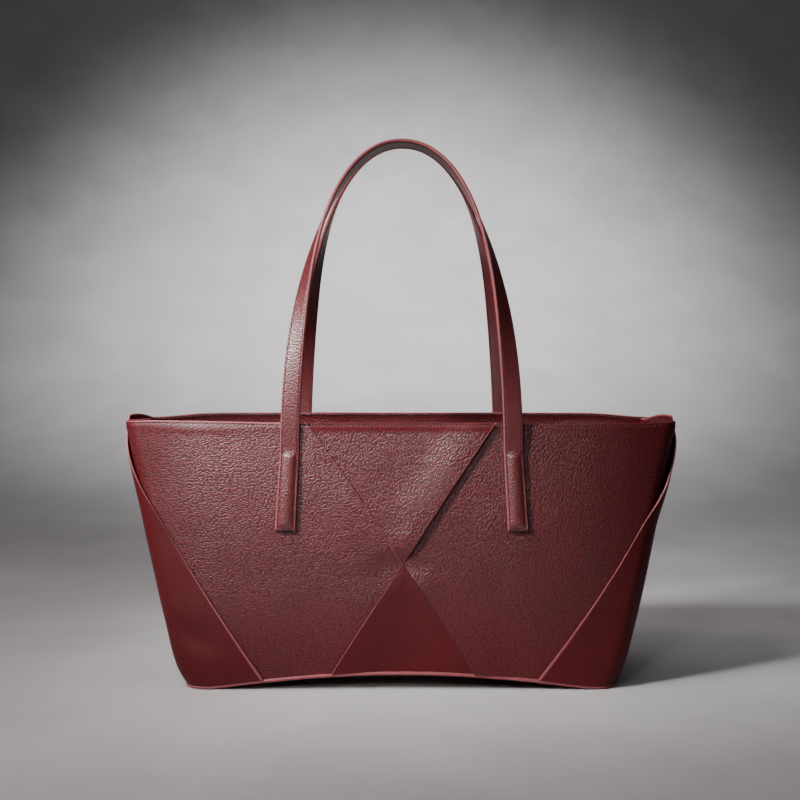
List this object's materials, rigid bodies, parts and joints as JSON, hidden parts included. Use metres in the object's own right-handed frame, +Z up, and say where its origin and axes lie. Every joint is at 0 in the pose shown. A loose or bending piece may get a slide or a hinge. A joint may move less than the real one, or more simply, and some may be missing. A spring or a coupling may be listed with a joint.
{
  "type": "pleated tote bag",
  "caption": "Wide leather tote with crossed overlapping face panels, folded side gussets, an arched base and two strap handles that swing down from sewn tabs.",
  "frame": {"origin": "middle of the base on the surface that the bag stands on", "axes": "+X to the right and along the mouth, the front face looks along -Y, +Z up"},
  "size_m": [0.4536, 0.1354, 0.4471],
  "materials": {
    "burgundy_leather": "pebbled, satin",
    "edge_painted_leather": "smooth, satin",
    "lining_cloth": "matte woven",
    "base_board": "matte",
    "filler_foam": "matte"
  },
  "bodies": {
    "bag_body": {"front_left_panel": "burgundy_leather", "front_right_panel": "burgundy_leather", "front_upper_gore": "burgundy_leather", "front_lower_gore": "burgundy_leather", "front_rim_facing": "burgundy_leather", "front_lining": "lining_cloth", "front_left_strap_tab": "burgundy_leather", "front_left_tab_filler": "filler_foam", "front_left_anchor_patch": "lining_cloth", "front_right_strap_tab": "burgundy_leather", "front_right_tab_filler": "filler_foam", "front_right_anchor_patch": "lining_cloth", "rear_left_panel": "burgundy_leather", "rear_right_panel": "burgundy_leather", "rear_upper_gore": "burgundy_leather", "rear_lower_gore": "burgundy_leather", "rear_rim_facing": "burgundy_leather", "rear_lining": "lining_cloth", "rear_left_strap_tab": "burgundy_leather", "rear_left_tab_filler": "filler_foam", "rear_left_anchor_patch": "lining_cloth", "rear_right_strap_tab": "burgundy_leather", "rear_right_tab_filler": "filler_foam", "rear_right_anchor_patch": "lining_cloth", "left_gusset": "burgundy_leather", "left_lining": "lining_cloth", "right_gusset": "burgundy_leather", "right_lining": "lining_cloth", "base_panel": "burgundy_leather", "base_board": "base_board", "base_lining": "lining_cloth", "base_welt": "edge_painted_leather"},
    "front_handle": {"front_handle_outer_strap": "burgundy_leather", "front_handle_inner_strap": "burgundy_leather"},
    "rear_handle": {"rear_handle_outer_strap": "burgundy_leather", "rear_handle_inner_strap": "burgundy_leather"}
  },
  "joints": [
    {"name": "front_handle_swing", "type": "hinge", "parent": "bag_body", "child": "front_handle", "pos_m": [0, -0.06258, 0.19115], "axis": [1, 0, 0], "range_deg": [0, 140]},
    {"name": "rear_handle_swing", "type": "hinge", "parent": "bag_body", "child": "rear_handle", "pos_m": [0, 0.06258, 0.19115], "axis": [-1, 0, 0], "range_deg": [0, 140]}
  ]
}
